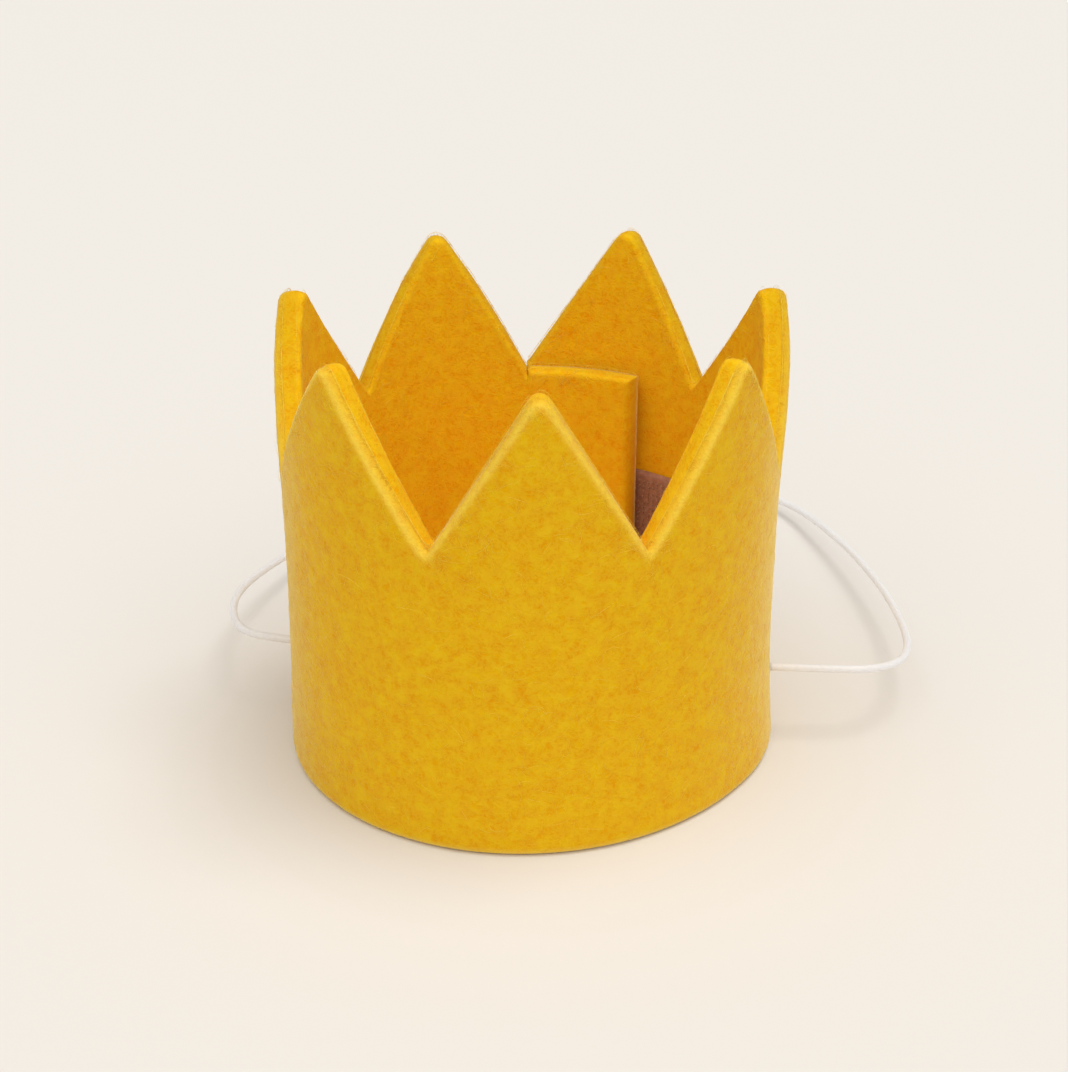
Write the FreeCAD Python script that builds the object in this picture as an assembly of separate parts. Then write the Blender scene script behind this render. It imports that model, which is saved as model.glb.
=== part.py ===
import FreeCAD, Part

import math
import os

# A small party crown: one strip of thick wool felt, cut to a row of points, rolled into a
# ring and lapped at the back, with a patch of hook tape inside the lap and an elastic strap.
# Millimetres, +Z up. The origin is the middle of the ring on the surface it stands on,
# the front point faces -Y, and a turn is measured in degrees from the front towards +X.

# The felt strip
felt_thickness = 3.3
ring_outer_radius = 30.0
valley_height = 37.4
point_height = 19.4
point_count = 7
point_tip_radius = 1.6
valley_root_width = 0.5
cut_edge_softening = 0.8
front_point_turn = 1.3

# The lap at the back
lap_tab_length = 14.4
lap_bend_radius = 12.0
lap_landing_turn = 8.0

# The patch of hook tape inside the lap
patch_width = 20.0
patch_height = 16.0
patch_bottom = 9.0
patch_thickness = 1.0
patch_under_tab = 10.0
patch_corner_radius = 1.5

# The elastic strap, its two holes and its two knots
cord_diameter = 1.0
cord_hole_clearance = 0.2
cord_hole_height = 9.0
right_hole_turn = 86.5
left_hole_turn = -98.5
right_straight_outside = 4.5
left_straight_outside = 3.0
knot_diameter = 3.2
knot_length = 3.0
knot_tail_length = 4.0
knot_tail_droop = 50.0

# The gap between pieces that lie against each other
seat_clearance = 0.1

# The strap's route between its two holes, chosen by eye: out of the right hole, down to the
# surface, round behind the ring and up to the left hole
cord_route_between_holes = [
    (43.0, -2.4, 8.9),
    (48.0, 3.0, 7.6),
    (49.6, 14.0, 5.9),
    (48.6, 29.0, 4.9),
    (45.0, 46.5, 3.7),
    (38.5, 65.5, 1.5),
    (23.0, 73.0, 0.6),
    (-3.0, 72.5, 0.6),
    (-21.0, 63.0, 1.0),
    (-31.5, 47.0, 3.0),
    (-37.6, 31.0, 5.8),
    (-40.1, 17.5, 8.4),
    (-38.2, 7.4, 9.0),
]

# Sizes worked out from the ones above
total_height = valley_height + point_height
ring_middle_radius = ring_outer_radius - felt_thickness / 2
ring_inner_radius = ring_outer_radius - felt_thickness
lap_gap = patch_thickness + 2 * seat_clearance
tab_outer_radius = ring_inner_radius - lap_gap
tab_middle_radius = tab_outer_radius - felt_thickness / 2
patch_outer_radius = ring_inner_radius - seat_clearance
knot_seat_radius = ring_inner_radius - seat_clearance
cord_radius = cord_diameter / 2

# Turns along the strip, which starts at the back valley, runs round the front and ends in
# the tab: the outer end, the start of the bend, the landing inside the lap and the tab's end
pitch_turn = 360.0 / point_count
outer_end_turn = front_point_turn + 180.0
back_valley_turn = outer_end_turn - 360.0
landing_turn = back_valley_turn - lap_landing_turn
tab_end_turn = back_valley_turn - math.degrees(lap_tab_length / tab_middle_radius)
bend_centre_radius = ring_middle_radius - lap_bend_radius
bend_turn = math.degrees(math.acos((tab_middle_radius - lap_bend_radius) / bend_centre_radius))
bend_start_turn = landing_turn + bend_turn


def vec(x, y, z=0.0):
    return FreeCAD.Vector(x, y, z)


def at_turn(radius, turn, height=0.0):
    """A point this far from the ring's axis, turned from the front towards +X."""
    angle = math.radians(turn)
    return vec(radius * math.sin(angle), -radius * math.cos(angle), height)


def turn_to(shape, turn):
    """Turn a shape that was made along +X so that it points along this turn."""
    shape.rotate(vec(0, 0), vec(0, 0, 1), turn - 90.0)
    return shape


def line(start, end):
    return Part.LineSegment(start, end).toShape()


def arc(centre, radius, start_turn, end_turn):
    """An arc about a centre, with both ends given as turns."""
    turns = (start_turn, (start_turn + end_turn) / 2, end_turn)
    return Part.Arc(*[centre + at_turn(radius, turn) for turn in turns]).toShape()


def ring_sector(inner_radius, outer_radius, start_turn, end_turn, bottom, height):
    """A piece of a ring between two turns, standing at this height."""
    middle = vec(0, 0)
    edges = [
        arc(middle, outer_radius, start_turn, end_turn),
        line(at_turn(outer_radius, end_turn), at_turn(inner_radius, end_turn)),
        arc(middle, inner_radius, end_turn, start_turn),
        line(at_turn(inner_radius, start_turn), at_turn(outer_radius, start_turn)),
    ]
    sector = Part.Face(Part.Wire(edges)).extrude(vec(0, 0, height))
    sector.translate(vec(0, 0, bottom))
    return sector


# The strip seen from above
def strip_side(offset):
    """One side of the rolled strip, this far outside its middle line: ring, bend, lap."""
    middle = vec(0, 0)
    bend_centre = at_turn(bend_centre_radius, bend_start_turn)
    bend_end = bend_centre + at_turn(lap_bend_radius + offset, landing_turn)
    landing = at_turn(tab_middle_radius + offset, landing_turn)
    return [
        arc(middle, ring_middle_radius + offset, outer_end_turn, bend_start_turn),
        arc(bend_centre, lap_bend_radius + offset, bend_start_turn, landing_turn),
        line(bend_end, landing),
        arc(middle, tab_middle_radius + offset, landing_turn, tab_end_turn),
    ]


def strip_plan():
    half_felt = felt_thickness / 2
    outer_end = line(
        at_turn(ring_inner_radius, outer_end_turn), at_turn(ring_outer_radius, outer_end_turn)
    )
    tab_end = line(
        at_turn(tab_middle_radius - half_felt, tab_end_turn),
        at_turn(tab_middle_radius + half_felt, tab_end_turn),
    )
    edges = [outer_end, tab_end] + strip_side(half_felt) + strip_side(-half_felt)
    return Part.Face(Part.Wire(Part.__sortEdges__(edges)))


# One notch between two points
def rolled_cut_line(radius, start_turn, end_turn, bottom, top):
    """A slanted cut at one radius: straight on the flat strip, so a helix once rolled."""
    height = top - bottom
    helix = Part.makeHelix(360.0 * height / abs(end_turn - start_turn), height, radius)
    if end_turn < start_turn:
        helix = helix.mirror(vec(0, 0), vec(0, 1, 0))
    helix.translate(vec(0, 0, bottom))
    return turn_to(helix, start_turn).Edges[0]


def notch_cutter(turn):
    """A wedge whose two slanted sides stay square to the felt all the way up."""
    inner_radius = tab_middle_radius / 2
    outer_radius = ring_outer_radius * 1.5
    top = total_height + point_height / 5
    half_root = math.degrees(valley_root_width / 2 / ring_outer_radius)
    turn_per_height = (pitch_turn / 2 - half_root) / point_height
    half_top = half_root + turn_per_height * (top - valley_height)

    def rail(side, radius):
        start_turn = turn + side * half_root
        end_turn = turn + side * half_top
        return rolled_cut_line(radius, start_turn, end_turn, valley_height, top)

    faces = [
        Part.makeRuledSurface(rail(-1, inner_radius), rail(-1, outer_radius)),
        Part.makeRuledSurface(rail(1, inner_radius), rail(1, outer_radius)),
        Part.makeRuledSurface(rail(-1, inner_radius), rail(1, inner_radius)),
        Part.makeRuledSurface(rail(-1, outer_radius), rail(1, outer_radius)),
    ]
    for half_turn, height in ((half_root, valley_height), (half_top, top)):
        corners = [
            at_turn(inner_radius, turn - half_turn, height),
            at_turn(outer_radius, turn - half_turn, height),
            at_turn(outer_radius, turn + half_turn, height),
            at_turn(inner_radius, turn + half_turn, height),
        ]
        faces.append(Part.Face(Part.makePolygon(corners + corners[:1])))
    shell = Part.Shell(faces)
    shell.sewShape()
    return Part.Solid(shell)


# The felt band
def tip_edges(band):
    """The sharp edges across the felt where two cuts meet at the tips of the points."""
    longest = felt_thickness * 1.2
    return [
        edge
        for edge in band.Edges
        if abs(edge.CenterOfMass.z - total_height) < 0.01 and edge.Length < longest
    ]


def is_ring_outside(face):
    surface = face.Surface
    return isinstance(surface, Part.Cylinder) and abs(surface.Radius - ring_outer_radius) < 0.001


def outer_face_outline(band):
    """The base, cuts and tips of the ring's outer face, without its two upright edges."""
    outer_face = max(filter(is_ring_outside, band.Faces), key=lambda face: face.Area)
    return [edge for edge in outer_face.Edges if abs(edge.tangentAt(edge.FirstParameter).z) < 0.99]


def cord_hole(turn):
    """A punched hole square through the felt for the strap."""
    radius = cord_radius + cord_hole_clearance
    start = ring_inner_radius - felt_thickness
    hole = Part.makeCylinder(
        radius, 3 * felt_thickness, vec(start, 0, cord_hole_height), vec(1, 0, 0)
    )
    return turn_to(hole, turn)


def felt_band():
    band = strip_plan().extrude(vec(0, 0, total_height))
    notches = [notch_cutter(outer_end_turn - pitch_turn * k) for k in range(point_count)]
    above_tab = ring_sector(
        tab_middle_radius / 2,
        tab_outer_radius + lap_gap / 2,
        back_valley_turn,
        tab_end_turn - lap_landing_turn,
        valley_height,
        point_height * 2,
    )
    band = band.cut(above_tab).cut(notches)
    band = band.makeFillet(point_tip_radius, tip_edges(band))
    band = band.makeChamfer(cut_edge_softening, outer_face_outline(band))
    return band.cut([cord_hole(right_hole_turn), cord_hole(left_hole_turn)])


# The patch of hook tape
def fastening_patch():
    inner_radius = patch_outer_radius - patch_thickness
    covered_end_turn = tab_end_turn + math.degrees(patch_under_tab / patch_outer_radius)
    open_end_turn = covered_end_turn - math.degrees(patch_width / patch_outer_radius)
    patch = ring_sector(
        inner_radius,
        patch_outer_radius,
        covered_end_turn,
        open_end_turn,
        patch_bottom,
        patch_height,
    )
    corners = [edge for edge in patch.Edges if edge.Length < patch_thickness * 1.01]
    return patch.makeFillet(patch_corner_radius, corners)


# One knot, with the short cut end of the cord below it
def knot(turn):
    """A stopper knot pulled tight on the cord's own line, seated inside the felt."""
    knot_radius = knot_diameter / 2
    end_radius = knot_radius - cord_radius / 2
    seat = knot_seat_radius
    profile = [
        vec(seat, 0),
        vec(seat, end_radius),
        vec(seat - knot_length / 4, knot_radius),
        vec(seat - knot_length * 3 / 4, knot_radius),
        vec(seat - knot_length, end_radius),
        vec(seat - knot_length, 0),
        vec(seat, 0),
    ]
    ball = Part.Face(Part.makePolygon(profile)).revolve(vec(0, 0), vec(1, 0, 0), 360)
    droop = math.radians(knot_tail_droop)
    tail_start = vec(seat - knot_length / 2, 0)
    tail_way = vec(-math.cos(droop), 0, -math.sin(droop))
    tail = Part.makeCylinder(
        cord_radius, knot_length / 2 + knot_tail_length, tail_start, tail_way
    )
    whole = ball.fuse(tail)
    whole.translate(vec(0, 0, cord_hole_height))
    return turn_to(whole, turn)


# The strap between its knots
def cord_route():
    right = [knot_seat_radius, ring_outer_radius + right_straight_outside]
    left = [ring_outer_radius + left_straight_outside, knot_seat_radius]
    return (
        [at_turn(radius, right_hole_turn, cord_hole_height) for radius in right]
        + [vec(*point) for point in cord_route_between_holes]
        + [at_turn(radius, left_hole_turn, cord_hole_height) for radius in left]
    )


def cord_path(points):
    """Straight runs joined by tangent arcs, each as large as its two runs allow."""
    edges = []
    radii = []
    start = points[0]
    for before, corner, after in zip(points, points[1:], points[2:]):
        back = before - corner
        ahead = after - corner
        reach = 0.45 * min(back.Length, ahead.Length)
        turned = math.pi - back.getAngle(ahead)
        back.normalize()
        ahead.normalize()
        radius = reach / math.tan(turned / 2)
        arc_start = corner + back * reach
        arc_end = corner + ahead * reach
        inward = back + ahead
        inward.normalize()
        arc_middle = corner + inward * (radius / math.cos(turned / 2) - radius)
        edges.append(line(start, arc_start))
        edges.append(Part.Arc(arc_start, arc_middle, arc_end).toShape())
        radii.append(round(radius, 1))
        start = arc_end
    edges.append(line(start, points[-1]))
    return Part.Wire(edges), radii


def elastic_cord():
    path, radii = cord_path(cord_route())
    start = path.Vertexes[0].Point
    section = Part.Wire(Part.makeCircle(cord_radius, start, at_turn(1.0, right_hole_turn)))
    tube = path.makePipeShell([section], True, False)
    expected = math.pi * cord_radius**2 * path.Length
    print("cord length", round(path.Length, 1), "arc radii", radii)
    print("cord volume", round(tube.Volume, 2), "section times length", round(expected, 2))
    return tube


pieces = {
    "felt_band": felt_band(),
    "fastening_patch": fastening_patch(),
    "elastic_cord": elastic_cord(),
    "left_knot": knot(left_hole_turn),
    "right_knot": knot(right_hole_turn),
}
os.makedirs("parts", exist_ok=True)
for name, shape in pieces.items():
    solid = shape.Solids[0]
    print(name, "valid", solid.isValid(), "volume", round(solid.Volume, 1))
    solid.exportStep(f"parts/{name}.step")
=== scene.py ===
import math
import random

import bmesh
import bpy
import numpy as np
from mathutils import Matrix, Vector, noise


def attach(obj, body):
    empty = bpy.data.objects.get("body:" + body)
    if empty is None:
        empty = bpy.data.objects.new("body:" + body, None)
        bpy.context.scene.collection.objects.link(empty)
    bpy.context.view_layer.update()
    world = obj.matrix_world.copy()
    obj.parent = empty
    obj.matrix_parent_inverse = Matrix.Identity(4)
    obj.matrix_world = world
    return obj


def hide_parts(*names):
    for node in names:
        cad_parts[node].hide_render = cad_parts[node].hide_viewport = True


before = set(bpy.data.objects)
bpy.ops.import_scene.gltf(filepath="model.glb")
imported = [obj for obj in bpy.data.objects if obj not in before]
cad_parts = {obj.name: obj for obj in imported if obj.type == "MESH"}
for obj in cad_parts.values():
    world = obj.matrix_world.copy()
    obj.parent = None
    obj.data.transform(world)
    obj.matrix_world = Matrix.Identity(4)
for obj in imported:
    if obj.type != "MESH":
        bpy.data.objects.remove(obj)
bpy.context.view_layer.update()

# Camera: the photograph's viewpoint, in front of the crown and about 26 degrees above it.
# The lens is stated in pixels of the long side of a 1068 by 1072 image.
RADIUS = 0.030
LONG_SIDE_PX = 1072
CAMERA_LENS_PX = 1970.0
CAMERA_ELEVATION = math.radians(26.0)
CAMERA_DISTANCE = 7.998 * RADIUS
CAMERA_ROLL = math.radians(0.19)
CAMERA_AIM = Vector((0.0087 * RADIUS, 0.0, 0.8716 * RADIUS))

camera_data = bpy.data.cameras.new("camera")
camera_data.sensor_width = 36.0
camera_data.lens = CAMERA_LENS_PX / LONG_SIDE_PX * camera_data.sensor_width
camera_data.clip_start = 0.005
camera_data.clip_end = 5.0
camera = bpy.data.objects.new("camera", camera_data)
bpy.context.scene.collection.objects.link(camera)
camera_back = Vector((0.0, -math.cos(CAMERA_ELEVATION), math.sin(CAMERA_ELEVATION)))
camera.location = CAMERA_AIM + camera_back * CAMERA_DISTANCE
camera.rotation_mode = "QUATERNION"
level_view = (-camera_back).to_track_quat("-Z", "Y")
camera.rotation_quaternion = level_view @ Matrix.Rotation(CAMERA_ROLL, 3, "Z").to_quaternion()
bpy.context.scene.camera = camera


def linear(code):
    """A hex colour as Blender's linear red, green, blue and alpha."""
    channels = [int(code[i : i + 2], 16) / 255 for i in (1, 3, 5)]
    return [c / 12.92 if c <= 0.04045 else ((c + 0.055) / 1.055) ** 2.4 for c in channels] + [1.0]


def node(tree, kind, links=(), **values):
    """Adds a shader node, sets its properties and inputs, and links sockets into its inputs."""
    made = tree.nodes.new(kind)
    for name, value in values.items():
        if hasattr(made, name):
            setattr(made, name, value)
        else:
            made.inputs[name.replace("_", " ")].default_value = value
    for socket, source in links:
        tree.links.new(source, made.inputs[socket])
    return made


# The elastic cord: thin round elastic on the same route as the solid, out of the right side,
# round behind the ring and into the left side.
CORD_DIAMETER = 0.001
HOLE_HEIGHT = 0.0090
RIGHT_HOLE_TURN = 86.5
LEFT_HOLE_TURN = -98.5
KNOT_SEAT = 0.0266


def at_turn(radius, turn, height):
    """A point this far from the ring's axis in metres, turned from the front towards +X."""
    angle = math.radians(turn)
    return (radius * math.sin(angle), -radius * math.cos(angle), height)


cord_points = [
    at_turn(KNOT_SEAT, RIGHT_HOLE_TURN, HOLE_HEIGHT),
    at_turn(0.0345, RIGHT_HOLE_TURN, HOLE_HEIGHT),
    (0.0430, -0.0024, 0.0089),
    (0.0480, 0.0030, 0.0076),
    (0.0496, 0.0140, 0.0059),
    (0.0486, 0.0290, 0.0049),
    (0.0450, 0.0465, 0.0037),
    (0.0385, 0.0655, 0.0015),
    (0.0230, 0.0730, 0.0006),
    (-0.0030, 0.0725, 0.0006),
    (-0.0210, 0.0630, 0.0010),
    (-0.0315, 0.0470, 0.0030),
    (-0.0376, 0.0310, 0.0058),
    (-0.0401, 0.0175, 0.0084),
    (-0.0382, 0.0074, 0.0090),
    at_turn(0.0330, LEFT_HOLE_TURN, HOLE_HEIGHT),
    at_turn(KNOT_SEAT, LEFT_HOLE_TURN, HOLE_HEIGHT),
]
cord_curve = bpy.data.curves.new("elastic", "CURVE")
cord_curve.dimensions = "3D"
cord_curve.bevel_depth = 1.0
cord_curve.bevel_resolution = 5
cord_curve.resolution_u = 16
cord_curve.use_fill_caps = True
cord_spline = cord_curve.splines.new("NURBS")
cord_spline.points.add(len(cord_points) - 1)
for point, place in zip(cord_spline.points, cord_points):
    point.co = (*place, 1.0)
    point.radius = CORD_DIAMETER / 2
cord_spline.order_u = 3
cord_spline.use_endpoint_u = True
elastic = bpy.data.objects.new("elastic", cord_curve)
bpy.context.scene.collection.objects.link(elastic)
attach(elastic, "root")
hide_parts("elastic_cord")

# The felt band: one thick strip, cut to points, rolled round and lapped inside the back.
# It is a fine grid over the strip laid flat (length along it, height), with both faces, cut
# edges pressed round by handling, and then the roll and the slight lean of the real one.
# Lengths are in millimetres and turns in degrees from the front.
FELT = 3.3
MIDDLE = 28.35
TAB_MIDDLE = 23.85
BEND = 12.0
OUTER_END = 181.3
BEND_START = -143.15
LANDING = -186.7
TAB_END = -213.3
OUTER_ROUND = 1.05
INNER_ROUND = 0.6
TIP_ROUND = 1.6
TAB_TOP = 39.0
POINT_TOP = 56.7
CUT_RADIUS = 30.0

# Where each valley and point was cut: turn from the front and height in millimetres
cuts = [
    (181.0, 38.2), (154.6, 57.8), (131.5, 38.3), (104.2, 56.3), (78.5, 38.3), (52.4, 56.6),
    (26.4, 36.8), (1.6, 57.0), (-22.6, 37.2), (-48.0, 56.7), (-75.8, 38.3), (-101.5, 56.3),
    (-127.7, 38.3), (-153.3, 57.5), (-178.9, 38.2),
]
cut_turns = np.array([turn for turn, height in cuts])
cut_heights = np.array([height for turn, height in cuts])

ring_end = math.radians(OUTER_END - BEND_START) * MIDDLE
bend_end = ring_end + math.radians(BEND_START - LANDING) * BEND
bend_centre = np.array(at_turn(MIDDLE - BEND, BEND_START, 0))[:2]
landing_way = np.array(at_turn(1, LANDING, 0))[:2]
landing_point = landing_way * TAB_MIDDLE
bend_last = bend_centre + landing_way * BEND
line_end = bend_end + np.linalg.norm(landing_point - bend_last)
strip_length = line_end + math.radians(LANDING - TAB_END) * TAB_MIDDLE


def strip_line(along):
    """Middle line of the rolled strip: points, outward directions and turns in degrees."""
    along = np.asarray(along, float)
    line_share = np.clip((along - bend_end) / (line_end - bend_end), 0, 1)[..., None]
    turn = np.where(
        along < ring_end,
        OUTER_END - np.degrees(along / MIDDLE),
        np.where(
            along < bend_end,
            BEND_START - np.degrees((along - ring_end) / BEND),
            LANDING - np.degrees(np.maximum(along - line_end, 0) / TAB_MIDDLE),
        ),
    )
    angle = np.radians(turn)
    way = np.stack([np.sin(angle), -np.cos(angle)], -1)
    on_ring = (along < ring_end)[..., None]
    on_bend = (along < bend_end)[..., None]
    on_line = (along < line_end)[..., None]
    straight = bend_last + (landing_point - bend_last) * line_share
    place = np.where(
        on_ring, way * MIDDLE,
        np.where(on_bend, bend_centre + way * BEND, np.where(on_line, straight, way * TAB_MIDDLE)),
    )
    seen = np.degrees(np.arctan2(place[..., 0], -place[..., 1]))
    seen = np.where((along > ring_end) & (seen > 0), seen - 360, seen)
    seen = np.where((along < MIDDLE) & (seen < 0), seen + 360, seen)
    return place, way, seen


def leaned(flat, turn, height):
    """A place in metres from one on the round ring: slightly oval, waisted and bulged by hand."""
    angle = np.radians(turn)
    rise = height / POINT_TOP
    stretch = (
        1
        - (0.0008 + 0.0111 * rise**2) * np.cos(2 * angle)
        - (0.0228 - 0.0041 * rise**2) * np.sin(2 * angle)
        - 0.0166 * 4 * rise * (1 - rise)
    )
    side_points = np.exp(-(((np.abs(turn) - 101.5) / 16) ** 2)) * np.clip((height - 34) / 14, 0, 1)
    right_foot = np.exp(-(((turn - 75) / 20) ** 2)) * np.clip(1 - height / 11, 0, 1)
    stretch = stretch + 0.018 * side_points + 0.020 * right_foot
    high = np.broadcast_to(height[..., None], flat.shape[:-1] + (1,))
    return np.concatenate([flat * stretch[..., None], high], -1) / 1000


def rolled(along, across, height):
    """Strip coordinates in millimetres to a place in metres, with the real crown's lean."""
    place, way, turn = strip_line(along)
    flat = place + way * np.asarray(across)[..., None]
    return leaned(flat, turn, np.asarray(height))


def cut_top(along):
    """Height of the cut upper edge at this length along the strip."""
    turn = strip_line(along)[2]
    order = np.argsort(cut_turns)
    top = np.interp(turn, cut_turns[order], cut_heights[order])
    for k in range(1, len(cuts) - 1, 2):
        run = math.radians(abs(cut_turns[k + 1] - cut_turns[k - 1]) / 2) * CUT_RADIUS
        rise = cut_heights[k] - (cut_heights[k - 1] + cut_heights[k + 1]) / 2
        slant = math.hypot(run, rise) / run
        away = np.abs(np.radians(turn - cut_turns[k])) * CUT_RADIUS
        cap = cut_heights[k] - TIP_ROUND * slant + np.sqrt(np.maximum(TIP_ROUND**2 - away**2, 0))
        top = np.where(away < TIP_ROUND, np.minimum(top, cap), top)
    return np.where(turn < cut_turns[-1], TAB_TOP, top)


def edge_steps(first, count, last):
    """Distances from an edge that start close together."""
    return np.linspace(0, 1, count) ** 1.7 * (last - first) + first


column = strip_length / 430
alongs = np.concatenate([
    edge_steps(0, 6, 1.2),
    np.arange(1.2 + column, strip_length - 1.2 - column / 2, column),
    strip_length - edge_steps(0, 6, 1.2)[::-1],
])
tab_start = np.interp(-cut_turns[-1], -strip_line(alongs)[2], alongs)
alongs = np.sort(np.concatenate([alongs, [tab_start - 0.02, tab_start + 0.02]]))
low_rows = edge_steps(0, 6, 1.2)
high_rows = edge_steps(0, 8, 2.4)[::-1]
MIDDLE_ROWS = 66
tops = cut_top(alongs)
rows = []
for along, top in zip(alongs, tops):
    middle = np.linspace(low_rows[-1], top - high_rows[0], MIDDLE_ROWS + 2)[1:-1]
    rows.append(np.concatenate([low_rows, middle, top - high_rows]))
heights = np.array(rows)
columns, levels = heights.shape
along_grid = np.repeat(alongs[:, None], levels, 1)

outline_along = np.concatenate([[0.0], alongs, [strip_length, strip_length, 0.0]])
outline_height = np.concatenate([[0.0], tops, [0.0, 0.0, 0.0]])
edge_distance = np.full(heights.shape, 9.0)
for k in range(len(outline_along) - 1):
    start = np.array([outline_along[k], outline_height[k]])
    step = np.array([outline_along[k + 1], outline_height[k + 1]]) - start
    length_squared = step @ step
    if length_squared < 1e-9:
        continue
    near = np.abs(alongs - start[0]) < 3 + abs(step[0])
    offset_along = along_grid[near] - start[0]
    offset_height = heights[near] - start[1]
    share = np.clip((offset_along * step[0] + offset_height * step[1]) / length_squared, 0, 1)
    gap = np.hypot(offset_along - share * step[0], offset_height - share * step[1])
    edge_distance[near] = np.minimum(edge_distance[near], gap)


def rounded_half(distance, radius):
    """Half the felt's thickness this far from a cut edge that is rounded over this radius."""
    inside = np.clip(radius - distance, 0, radius)
    return FELT / 2 - radius + np.sqrt(radius**2 - inside**2)


def lumpy(places, size, seed):
    """Smooth noise from -1 to 1 at each place, with lumps about this many metres across."""
    shift = Vector((seed * 7.3, seed * 3.1, seed * 5.7))
    return np.array([noise.noise(Vector(place) / size + shift) for place in places])


def mesh_piece(name, places, faces, material):
    """Makes an object from points and faces, with its normals outwards and shaded smooth."""
    mesh = bpy.data.meshes.new(name)
    mesh.from_pydata([tuple(p) for p in places], [], faces)
    shape = bmesh.new()
    shape.from_mesh(mesh)
    bmesh.ops.recalc_face_normals(shape, faces=shape.faces)
    shape.to_mesh(mesh)
    shape.free()
    mesh.polygons.foreach_set("use_smooth", [True] * len(mesh.polygons))
    mesh.materials.append(material)
    piece = bpy.data.objects.new(name, mesh)
    bpy.context.scene.collection.objects.link(piece)
    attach(piece, "root")
    return piece


def felt_places(along, height, distance, side):
    """Places on one face of the felt: side 1 is the outside, side -1 the inside."""
    radius = OUTER_ROUND if side > 0 else INNER_ROUND
    return rolled(along, side * rounded_half(distance, radius), height)


along_flat = along_grid.ravel()
height_flat = heights.ravel()
distance_flat = edge_distance.ravel()
outside_places = felt_places(along_flat, height_flat, distance_flat, 1)
inside_places = felt_places(along_flat, height_flat, distance_flat, -1)
way_flat = np.concatenate([strip_line(along_flat)[1], np.zeros((len(along_flat), 1))], 1)
fade = np.clip(distance_flat / 1.2, 0, 1)[:, None]
WIDE_LUMPS = 0.009
SMALL_LUMPS = 0.0022
outside_bumps = (
    0.00009 * lumpy(outside_places, WIDE_LUMPS, 1) + 0.00004 * lumpy(outside_places, SMALL_LUMPS, 2)
)
inside_bumps = (
    0.00008 * lumpy(inside_places, WIDE_LUMPS, 3) + 0.00004 * lumpy(inside_places, SMALL_LUMPS, 4)
)
outside_places = outside_places + way_flat * outside_bumps[:, None] * fade
inside_places = inside_places - way_flat * inside_bumps[:, None] * fade



def grid_faces(columns, levels):
    """The quads of a grid of points and the points round its rim, in order."""
    number = np.arange(columns * levels).reshape(columns, levels)
    corners = [number[:-1, :-1], number[1:, :-1], number[1:, 1:], number[:-1, 1:]]
    around = [number[:, 0], number[-1, 1:], number[-2::-1, -1], number[0, -2:0:-1]]
    return np.stack(corners, -1).reshape(-1, 4), np.concatenate(around)


quads, rim = grid_faces(columns, levels)
rim_along = along_flat[rim]
rim_height = height_flat[rim]
rim_before = np.roll(np.arange(len(rim)), 1)
rim_after = np.roll(np.arange(len(rim)), -1)
tangent = np.stack([
    rim_along[rim_after] - rim_along[rim_before],
    rim_height[rim_after] - rim_height[rim_before],
], -1)
tangent /= np.maximum(np.linalg.norm(tangent, axis=1), 1e-6)[:, None]
outward = np.stack([tangent[:, 1], -tangent[:, 0]], -1)
CUT_STEPS = 5
CUT_BULGE = 0.14
felt_points = [outside_places, inside_places]
rim_rings = [rim]
count = 2 * columns * levels
for k in range(1, CUT_STEPS):
    share = k / CUT_STEPS
    bulge = CUT_BULGE * 4 * share * (1 - share)
    across = (FELT / 2 - OUTER_ROUND) * (1 - share) - (FELT / 2 - INNER_ROUND) * share
    ring_along = rim_along + outward[:, 0] * bulge
    ring_height = np.maximum(rim_height + outward[:, 1] * bulge, 0)
    felt_points.append(rolled(ring_along, np.full(len(rim), across), ring_height))
    rim_rings.append(np.arange(count, count + len(rim)))
    count += len(rim)
rim_rings.append(rim + columns * levels)
felt_faces = [tuple(q) for q in quads] + [tuple(q[::-1] + columns * levels) for q in quads]
for ring, following in zip(rim_rings, rim_rings[1:]):
    for k in range(len(rim)):
        after = (k + 1) % len(rim)
        felt_faces.append((ring[k], ring[after], following[after], following[k]))
felt_faces = [tuple(int(v) for v in face) for face in felt_faces]
felt_points = np.concatenate(felt_points)


def blank_material(name):
    """A new material and its emptied node tree."""
    material = bpy.data.materials.new(name)
    material.use_nodes = True
    material.node_tree.nodes.clear()
    return material, material.node_tree


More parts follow.
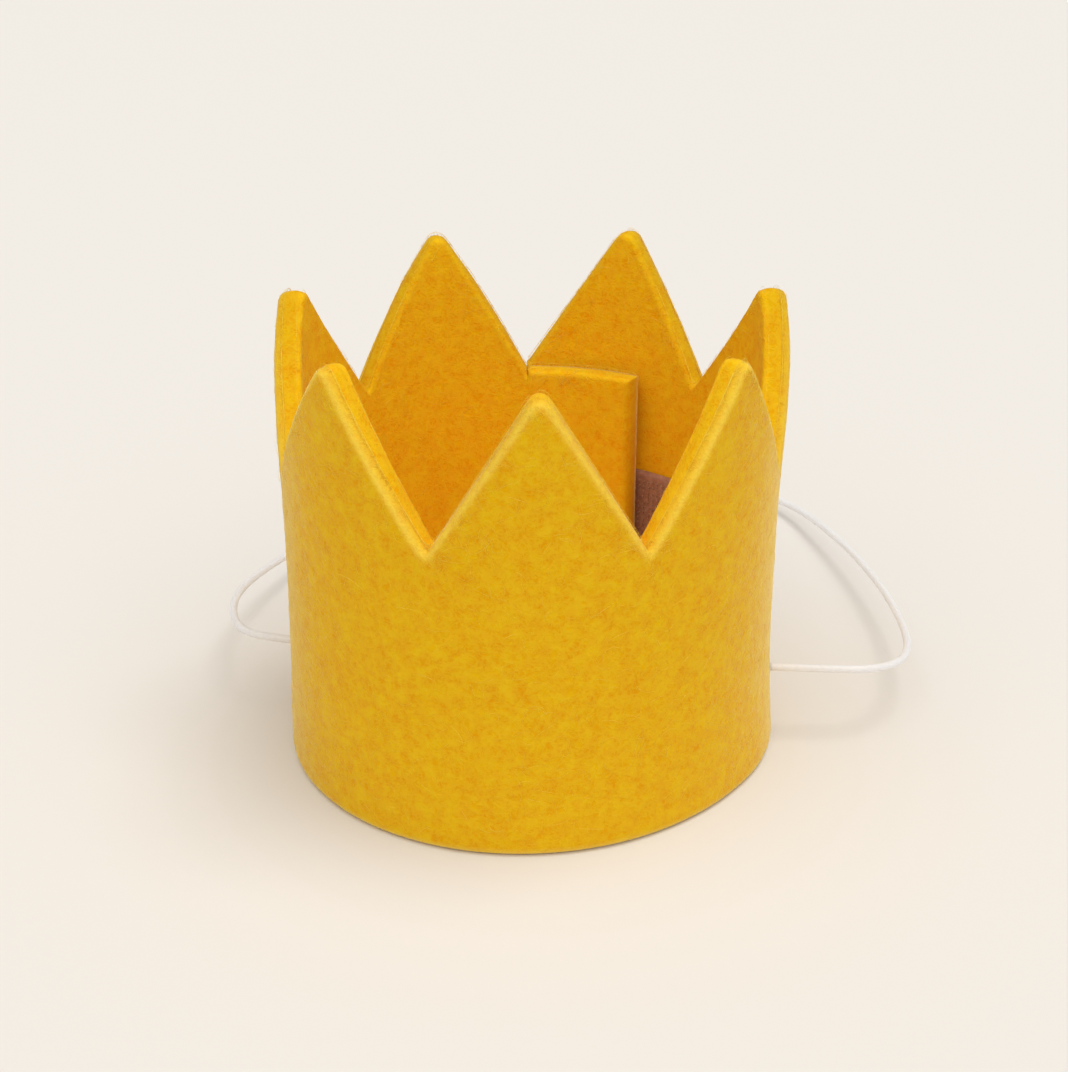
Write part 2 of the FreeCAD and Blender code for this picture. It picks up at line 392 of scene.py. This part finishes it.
def felt_material(name, pale, main, deep, highlight_tint):
    """Matted wool: curly fibres as thin noise contours, lighter over darker gaps, with sheen."""
    material, tree = blank_material(name)
    place = node(tree, "ShaderNodeTexCoord").outputs["Object"]
    lines = None
    sets = ((560, 0.0, 0.06), (760, 3.7, 0.07), (1050, 8.1, 0.08), (1400, 5.3, 0.09))
    for scale, shift, width in sets:
        moved = node(tree, "ShaderNodeVectorMath", [(0, place)], operation="ADD")
        moved.inputs[1].default_value = (shift, shift * 0.7, -shift)
        field = node(
            tree, "ShaderNodeTexNoise", [("Vector", moved.outputs[0])],
            Scale=scale, Detail=1.0, Distortion=0.8,
        )
        offset = node(tree, "ShaderNodeMath", [(0, field.outputs[0])], operation="SUBTRACT")
        offset.inputs[1].default_value = 0.5
        size = node(tree, "ShaderNodeMath", [(0, offset.outputs[0])], operation="ABSOLUTE")
        line_map = node(
            tree, "ShaderNodeMapRange", [("Value", size.outputs[0])],
            interpolation_type="SMOOTHSTEP", From_Min=width, From_Max=0.0,
        )
        if lines is None:
            lines = line_map.outputs[0]
        else:
            links = [(0, lines), (1, line_map.outputs[0])]
            lines = node(tree, "ShaderNodeMath", links, operation="MAXIMUM").outputs[0]
    at_place = [("Vector", place)]
    clumps = node(tree, "ShaderNodeTexNoise", at_place, Scale=620.0, Detail=3.0, Roughness=0.6)
    patches = node(tree, "ShaderNodeTexNoise", at_place, Scale=28.0, Detail=3.0, Roughness=0.6)
    mixed = node(tree, "ShaderNodeMix", data_type="RGBA")
    clump_map = node(
        tree, "ShaderNodeMapRange", [("Value", clumps.outputs[0])], From_Min=0.36, From_Max=0.66
    )
    tree.links.new(clump_map.outputs[0], mixed.inputs["Factor"])
    mixed.inputs["A"].default_value = linear(deep)
    mixed.inputs["B"].default_value = linear(main)
    line_share = node(tree, "ShaderNodeMath", [(0, lines)], operation="MULTIPLY")
    line_share.inputs[1].default_value = 0.45
    lined = node(tree, "ShaderNodeMix", [("Factor", line_share.outputs[0])], data_type="RGBA")
    tree.links.new(mixed.outputs["Result"], lined.inputs["A"])
    lined.inputs["B"].default_value = linear(pale)
    patch_map = node(
        tree, "ShaderNodeMapRange", [("Value", patches.outputs[0])],
        From_Min=0.3, From_Max=0.7, To_Min=0.98, To_Max=1.01,
    )
    shaded = node(tree, "ShaderNodeVectorMath", operation="SCALE")
    tree.links.new(lined.outputs["Result"], shaded.inputs[0])
    # face_shade is painted shade: the outer and cut faces and the back edges darker than the inner
    # face.
    face_shade = node(tree, "ShaderNodeAttribute", attribute_name="face_shade")
    shade = node(
        tree, "ShaderNodeMath", [(0, patch_map.outputs[0]), (1, face_shade.outputs["Fac"])],
        operation="MULTIPLY",
    )
    tree.links.new(shade.outputs[0], shaded.inputs["Scale"])
    # The rim attribute mixes in a painted pale highlight along the front outer edges.
    highlight_share = node(tree, "ShaderNodeAttribute", attribute_name="rim")
    highlighted = node(tree, "ShaderNodeMix", [("Factor", highlight_share.outputs["Fac"])], data_type="RGBA")
    tree.links.new(shaded.outputs[0], highlighted.inputs["A"])
    highlighted.inputs["B"].default_value = linear(highlight_tint)
    surface = node(tree, "ShaderNodeBsdfPrincipled")
    tree.links.new(highlighted.outputs["Result"], surface.inputs["Base Color"])
    surface.inputs["Roughness"].default_value = 0.92
    surface.inputs["Specular IOR Level"].default_value = 0.08
    nap = node(tree, "ShaderNodeAttribute", attribute_name="nap")
    tree.links.new(nap.outputs["Fac"], surface.inputs["Sheen Weight"])
    surface.inputs["Sheen Roughness"].default_value = 0.3
    surface.inputs["Sheen Tint"].default_value = linear("#fff0b4")
    relief = node(tree, "ShaderNodeMath", [(0, lines), (1, clumps.outputs[0])], operation="ADD")
    bump = node(
        tree, "ShaderNodeBump", [("Height", relief.outputs[0])], Strength=0.35, Distance=0.00012
    )
    tree.links.new(bump.outputs[0], surface.inputs["Normal"])
    out = node(tree, "ShaderNodeOutputMaterial")
    tree.links.new(surface.outputs[0], out.inputs["Surface"])
    return material


# The outer face is painted darker than the inner one, as painted shade, and shines at the sides
# through its sheen. Its front edges get a painted pale highlight and its back edges painted shade.
RIM_HIGHLIGHT_SHARE = 0.6
BACK_EDGE_SHADE = 0.16
# The last colour is the painted pale highlight on the front outer edges.
felt = felt_material("felt", "#ffd32c", "#fec806", "#f9ac00", "#ffe05c")
band = mesh_piece("felt_ring", felt_points, felt_faces, felt)
toward_front = np.clip(0.6 - felt_points[:, 1] / 0.02, 0, 1)
face_size = columns * levels
near_edge = np.ones(len(felt_points))
near_edge[: 2 * face_size] = np.tile(np.clip(1 - distance_flat / 0.9, 0, 1), 2)
# A band just inside the outer cut edges, where the painted highlight goes.
highlight_line = np.clip(1 - np.abs(distance_flat - 0.45) / 0.6, 0, 1)


def by_face(outside, inside, cut):
    """One value for each point of the felt, from those of its outer, inner and cut faces."""
    amount = np.full(len(felt_points), cut)
    amount[:face_size] = outside
    amount[face_size : 2 * face_size] = inside
    return amount


# face_shade is painted shade: outer face 0.85, inner face 1, cut faces 0.9, darker still at the
# back edges.
shares = {
    "nap": by_face(1.0, 0.1, 0.2),
    "face_shade": by_face(0.85, 1.0, 0.9) * (1 - BACK_EDGE_SHADE * near_edge * (1 - toward_front)),
    # rim: a painted pale highlight along the outer edges, on the front half only.
    "rim": by_face(RIM_HIGHLIGHT_SHARE * highlight_line * toward_front[:face_size], 0.0, 0.0),
}
for name, amount in shares.items():
    attribute = band.data.attributes.new(name, "FLOAT", "POINT")
    attribute.data.foreach_set("value", amount.astype(np.float32))
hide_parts("felt_band")


# Loose fibres on the felt: short curls that lie in its faces and stand off its cut edges.
# Each is a thin three-sided strand that starts and ends just inside the wool.
FIBRE_POINTS = 6
EDGE_SHARE = 0.5


def fibre_mesh(name, amount, side, material, seed):
    """Curled strands scattered over one face, most of them flat and some standing off."""
    pick = np.random.default_rng(seed)
    places = []
    while len(places) < amount:
        along = pick.uniform(0.3, strip_length - 0.3)
        top = float(np.interp(along, alongs, tops))
        height = pick.uniform(0.3, 57)
        if pick.random() < EDGE_SHARE:
            height = top - abs(pick.normal(0, 0.7))
        if height > top - 0.05:
            continue
        places.append((along, height))
    starts = np.array(places)
    heading = pick.uniform(0, 2 * math.pi, amount)
    curl = pick.normal(0, 0.9, amount)
    length = pick.uniform(1.0, 4.2, amount)
    step = length / (FIBRE_POINTS - 1)
    way = heading[:, None] + curl[:, None] * np.arange(FIBRE_POINTS)[None, :] * step[:, None]
    move = np.stack([np.cos(way), np.sin(way)], -1) * step[:, None, None]
    moved = np.concatenate([np.zeros((amount, 1, 2)), np.cumsum(move, 1)[:, :-1]], 1)
    flat = starts[:, None, :] + moved
    share = np.linspace(0, 1, FIBRE_POINTS)
    lift = pick.gamma(2.0, 0.02, amount)[:, None] * np.sin(math.pi * share)[None, :] - 0.02
    fly = pick.random(amount) < 0.06
    lift = lift + fly[:, None] * share[None, :] * pick.uniform(0.1, 0.45, amount)[:, None]
    along = np.clip(flat[..., 0], 0.02, strip_length - 0.02)
    top = np.interp(along, alongs, tops)
    height = np.clip(np.minimum(flat[..., 1], top + 0.4), 0.03, None)
    slope = np.interp(along, alongs, np.abs(np.gradient(tops, alongs)))
    distance = np.minimum.reduce([
        np.maximum(top - height, 0) / np.sqrt(1 + slope**2), height, along, strip_length - along,
    ])
    radius = OUTER_ROUND if side > 0 else INNER_ROUND
    across = side * (rounded_half(distance, radius) + lift)
    centre = rolled(along.ravel(), across.ravel(), height.ravel()).reshape(amount, FIBRE_POINTS, 3)
    tangent = np.gradient(centre, axis=1)
    tangent /= np.maximum(np.linalg.norm(tangent, axis=2), 1e-9)[..., None]
    up = np.concatenate([strip_line(along)[1] * side, np.zeros(along.shape + (1,))], -1)
    beside = np.cross(tangent, up)
    beside /= np.maximum(np.linalg.norm(beside, axis=2), 1e-9)[..., None]
    above = np.cross(beside, tangent)
    thick = pick.uniform(0.010, 0.020, amount)[:, None, None] / 1000
    taper = (0.35 + 0.65 * np.sin(math.pi * (0.08 + 0.84 * share)))[None, :, None]
    rings = [
        centre + thick * taper * (math.cos(a) * beside + math.sin(a) * above)
        for a in (math.pi / 2, math.pi * 7 / 6, math.pi * 11 / 6)
    ]
    points = np.stack(rings, 2).reshape(-1, 3)
    first = np.arange(amount)[:, None] * FIBRE_POINTS * 3 + np.arange(FIBRE_POINTS - 1)[None, :] * 3
    first = first.ravel()
    faces = []
    for k in range(3):
        j = (k + 1) % 3
        faces.append(np.stack([first + k, first + j, first + j + 3, first + k + 3], -1))
    faces = np.concatenate(faces)
    mesh = bpy.data.meshes.new(name)
    mesh.from_pydata(points.tolist(), [], faces.tolist())
    mesh.polygons.foreach_set("use_smooth", [True] * len(mesh.polygons))
    mesh.materials.append(material)
    piece = bpy.data.objects.new(name, mesh)
    bpy.context.scene.collection.objects.link(piece)
    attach(piece, "root")
    return piece


def fibre_material(name, main, deep):
    """Single wool fibres: the felt's colours, a little paler as painted light, and softly shining.
    """
    material, tree = blank_material(name)
    place = node(tree, "ShaderNodeTexCoord").outputs["Object"]
    field = node(tree, "ShaderNodeTexNoise", [("Vector", place)], Scale=420.0, Detail=1.0)
    mixed = node(tree, "ShaderNodeMix", data_type="RGBA")
    spread = node(
        tree, "ShaderNodeMapRange", [("Value", field.outputs[0])], From_Min=0.35, From_Max=0.65
    )
    tree.links.new(spread.outputs[0], mixed.inputs["Factor"])
    mixed.inputs["A"].default_value = linear(deep)
    mixed.inputs["B"].default_value = linear(main)
    surface = node(tree, "ShaderNodeBsdfPrincipled")
    tree.links.new(mixed.outputs["Result"], surface.inputs["Base Color"])
    surface.inputs["Roughness"].default_value = 0.7
    surface.inputs["Specular IOR Level"].default_value = 0.25
    out = node(tree, "ShaderNodeOutputMaterial")
    tree.links.new(surface.outputs[0], out.inputs["Surface"])
    return material


# The fibres are paler than the felt as painted light that offsets the shadows they cast on it.
fibre = fibre_material("felt_fibre", "#ffe25c", "#ffd838")
outside_fibres = fibre_mesh("outside_fibres", 4200, 1, fibre, 21)
inside_fibres = fibre_mesh("inside_fibres", 1400, -1, fibre, 22)


# The patch of hook tape: a woven strip with rows of tiny nylon hooks, stuck inside the felt
# beside the lap's end and half under it.
def patch_places(turn, height, across):
    """A place on the patch: turn from the front, height and distance inwards, in millimetres."""
    angle = np.radians(turn)
    way = np.stack([np.sin(angle), -np.cos(angle)], -1)
    return leaned(way * np.asarray(STUCK_RADIUS - across)[..., None], turn, height)


STUCK_RADIUS = 26.6
PATCH_LOW = 9.0
PATCH_HIGH = 25.0
PATCH_TURN = 125.2
PATCH_END = 168.2
PATCH_MIDDLE = 26.1
MM_PER_DEGREE = 0.455
patch_columns = 60
patch_rows = 44
corner = 1.5
patch_turns = np.linspace(PATCH_TURN, PATCH_END, patch_columns)
patch_heights = np.linspace(PATCH_LOW, PATCH_HIGH, patch_rows)
grid_turn, grid_height = np.meshgrid(patch_turns, patch_heights, indexing="ij")
width = math.radians(PATCH_END - PATCH_TURN) * PATCH_MIDDLE
flat_x = (grid_turn - PATCH_TURN) / (PATCH_END - PATCH_TURN) * width - width / 2
flat_y = grid_height - (PATCH_LOW + PATCH_HIGH) / 2
half_x = width / 2 - corner
half_y = (PATCH_HIGH - PATCH_LOW) / 2 - corner
over_x = np.maximum(np.abs(flat_x) - half_x, 0)
over_y = np.maximum(np.abs(flat_y) - half_y, 0)
over = np.hypot(over_x, over_y)
pull = np.where(over > corner, corner / np.maximum(over, 1e-6), 1.0)
flat_x = np.sign(flat_x) * (np.minimum(np.abs(flat_x), half_x) + over_x * pull)
flat_y = np.sign(flat_y) * (np.minimum(np.abs(flat_y), half_y) + over_y * pull)
grid_turn = (flat_x + width / 2) / width * (PATCH_END - PATCH_TURN) + PATCH_TURN
grid_height = flat_y + (PATCH_LOW + PATCH_HIGH) / 2
edge_gap = np.minimum(
    np.minimum(grid_turn - PATCH_TURN, PATCH_END - grid_turn) * MM_PER_DEGREE,
    np.minimum(grid_height - PATCH_LOW, PATCH_HIGH - grid_height),
)
edge_gap = np.where(over > 0, np.minimum(edge_gap, corner - np.minimum(over, corner)), edge_gap)
tape = 0.45 * np.sqrt(np.clip(edge_gap / 0.35, 0.02, 1))
front_places = patch_places(grid_turn.ravel(), grid_height.ravel(), tape.ravel() + 0.05)
back_places = patch_places(grid_turn.ravel(), grid_height.ravel(), np.zeros(grid_turn.size))
patch_quads, patch_rim = grid_faces(patch_columns, patch_rows)
face_points = patch_columns * patch_rows
patch_faces = [tuple(int(v) for v in q) for q in patch_quads]
patch_faces += [tuple(int(v) + face_points for v in q[::-1]) for q in patch_quads]
for k in range(len(patch_rim)):
    first, second = int(patch_rim[k]), int(patch_rim[(k + 1) % len(patch_rim)])
    patch_faces.append((first, second, second + face_points, first + face_points))

tape_material, tape_tree = blank_material("hook_tape")
tape_place = node(tape_tree, "ShaderNodeTexCoord").outputs["Object"]
tape_weave = node(
    tape_tree, "ShaderNodeTexNoise", [("Vector", tape_place)], Scale=1400.0, Detail=2.0
)
tape_mix = node(tape_tree, "ShaderNodeMix", [("Factor", tape_weave.outputs[0])], data_type="RGBA")
tape_mix.inputs["A"].default_value = linear("#8c5a48")
tape_mix.inputs["B"].default_value = linear("#c8987e")
tape_surface = node(tape_tree, "ShaderNodeBsdfPrincipled", Roughness=0.65)
tape_tree.links.new(tape_mix.outputs["Result"], tape_surface.inputs["Base Color"])
tape_surface.inputs["Sheen Weight"].default_value = 0.3
tape_bump = node(
    tape_tree, "ShaderNodeBump", [("Height", tape_weave.outputs[0])],
    Strength=0.6, Distance=0.0001,
)
tape_tree.links.new(tape_bump.outputs[0], tape_surface.inputs["Normal"])
tape_out = node(tape_tree, "ShaderNodeOutputMaterial")
tape_tree.links.new(tape_surface.outputs[0], tape_out.inputs["Surface"])
patch_points = np.concatenate([front_places, back_places])
hook_patch = mesh_piece("hook_patch", patch_points, patch_faces, tape_material)
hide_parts("fastening_patch")

# Its hooks: rows of small bent nylon pins standing on the tape, a few tenths of a
# millimetre high
hook_pick = random.Random(5)
hook_points = []
hook_faces = []
hook_turn = PATCH_TURN + 1.6
while hook_turn < PATCH_END - 1.4:
    hook_height = PATCH_LOW + 0.8
    while hook_height < PATCH_HIGH - 0.7:
        turn = hook_turn + hook_pick.uniform(-0.15, 0.15)
        height = hook_height + hook_pick.uniform(-0.06, 0.06)
        bend = hook_pick.choice((-1, 1))
        line = [(0, 0.42), (0, 0.72), (bend * 0.12, 0.92), (bend * 0.3, 0.8)]
        start = len(hook_points)
        for aside, across in line:
            for k in range(3):
                angle = math.radians(90 + 120 * k)
                hook_points.append(
                    patch_places(
                        np.array(turn + 0.17 * math.cos(angle)),
                        np.array(height + aside + 0.08 * math.sin(angle)),
                        np.array(across),
                    )
                )
        for ring in range(len(line) - 1):
            for k in range(3):
                a = start + ring * 3 + k
                b = start + ring * 3 + (k + 1) % 3
                hook_faces.append((a, b, b + 3, a + 3))
        hook_height += 0.78
    hook_turn += 1.55
nylon_material = bpy.data.materials.new("nylon_hooks")
nylon_material.use_nodes = True
nylon_surface = nylon_material.node_tree.nodes["Principled BSDF"]
nylon_surface.inputs["Base Color"].default_value = linear("#c49a80")
nylon_surface.inputs["Roughness"].default_value = 0.4
hooks = mesh_piece("hooks", hook_points, hook_faces, nylon_material)


# The two knots: an overhand stopper knot in the elastic's own thickness, inside each hole,
# with the cut tail hanging below it.
elastic_material = bpy.data.materials.new("elastic")
elastic_material.use_nodes = True
elastic_tree = elastic_material.node_tree
elastic_surface = elastic_tree.nodes["Principled BSDF"]
elastic_place = node(elastic_tree, "ShaderNodeTexCoord").outputs["Object"]
elastic_field = node(
    elastic_tree, "ShaderNodeTexNoise", [("Vector", elastic_place)], Scale=1800.0, Detail=2.0
)
elastic_mix = node(
    elastic_tree, "ShaderNodeMix", [("Factor", elastic_field.outputs[0])], data_type="RGBA"
)
elastic_mix.inputs["A"].default_value = linear("#dcdde4")
elastic_mix.inputs["B"].default_value = linear("#e9eaf0")
elastic_tree.links.new(elastic_mix.outputs["Result"], elastic_surface.inputs["Base Color"])
elastic_surface.inputs["Roughness"].default_value = 0.45
elastic_surface.inputs["Subsurface Weight"].default_value = 1.0
elastic_surface.inputs["Subsurface Radius"].default_value = (1.0, 1.0, 1.0)
elastic_surface.inputs["Subsurface Scale"].default_value = 0.002
elastic_bump = node(
    elastic_tree, "ShaderNodeBump", [("Height", elastic_field.outputs[0])],
    Strength=0.3, Distance=0.0001,
)
elastic_tree.links.new(elastic_bump.outputs[0], elastic_surface.inputs["Normal"])
cord_curve.materials.append(elastic_material)


KNOT_STEPS = 18
KNOT_SIZE = 0.37
TIGHTER = 0.92


def knot_piece(name, turn):
    """A trefoil of cord pulled small, turned to its hole, with the tail as its last stretch."""
    curve = bpy.data.curves.new(name, "CURVE")
    curve.dimensions = "3D"
    curve.bevel_depth = 1.0
    curve.bevel_resolution = 4
    curve.resolution_u = 8
    curve.use_fill_caps = True
    loops = []
    for k in range(KNOT_STEPS + 1):
        t = math.radians(20 + 320 * k / KNOT_STEPS)
        swing = KNOT_SIZE * (2 + math.cos(3 * t))
        depth = -1.5 + 0.855 * math.sin(3 * t)
        loops.append((depth, swing * math.cos(2 * t), swing * math.sin(2 * t)))
    loops += [(-2.2, 0.2, -1.4), (-2.9, 0.1, -2.4), (-3.6, 0.0, -3.4)]
    spline = curve.splines.new("NURBS")
    spline.points.add(len(loops) - 1)
    angle = math.radians(turn - 90)
    for point, (x, y, z) in zip(spline.points, loops):
        away = KNOT_SEAT * 1000 + x
        point.co = (
            (away * math.cos(angle) - y * math.sin(angle)) / 1000,
            (away * math.sin(angle) + y * math.cos(angle)) / 1000,
            HOLE_HEIGHT + z / 1000,
            1.0,
        )
        point.radius = CORD_DIAMETER / 2 * TIGHTER
    spline.order_u = 4
    spline.use_endpoint_u = True
    curve.materials.append(elastic_material)
    piece = bpy.data.objects.new(name, curve)
    bpy.context.scene.collection.objects.link(piece)
    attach(piece, "root")
    return piece


right_tie = knot_piece("right_tie", RIGHT_HOLE_TURN)
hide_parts("right_knot")
left_tie = knot_piece("left_tie", LEFT_HOLE_TURN)
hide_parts("left_knot")


# Stage: a plain pale floor that keeps the object's shadow, one very soft light from above and
# in front, a narrower one from the upper right and a weak sky all round.
floor_data = bpy.data.meshes.new("floor")
floor_data.from_pydata([(-6, -6, 0), (6, -6, 0), (6, 6, 0), (-6, 6, 0)], [], [(0, 1, 2, 3)])
floor = bpy.data.objects.new("floor", floor_data)
bpy.context.scene.collection.objects.link(floor)
floor_material = bpy.data.materials.new("floor")
floor_material.use_nodes = True
floor_surface = floor_material.node_tree.nodes["Principled BSDF"]
floor_surface.inputs["Base Color"].default_value = linear("#e6e3df")
floor_surface.inputs["Roughness"].default_value = 0.9
floor_surface.inputs["Specular IOR Level"].default_value = 0.1
floor_data.materials.append(floor_material)


def soft_sun(name, way, strength, spread):
    """A wide soft lamp far away in this direction."""
    data = bpy.data.lights.new(name, "SUN")
    data.energy = strength
    data.angle = math.radians(spread)
    data.color = linear("#fffdf9")[:3]
    lamp = bpy.data.objects.new(name, data)
    bpy.context.scene.collection.objects.link(lamp)
    lamp.rotation_mode = "QUATERNION"
    lamp.rotation_quaternion = Vector(way).to_track_quat("Z", "Y")


soft_sun("above", (0.0, -0.4, 0.92), 1.75, 90)
soft_sun("window", (0.28, 0.05, 0.96), 0.72, 26)

world = bpy.data.worlds.new("sky")
bpy.context.scene.world = world
world.use_nodes = True
world.node_tree.nodes["Background"].inputs["Color"].default_value = linear("#fdfaf5")
world.node_tree.nodes["Background"].inputs["Strength"].default_value = 0.41
bpy.context.scene.view_settings.view_transform = "Standard"
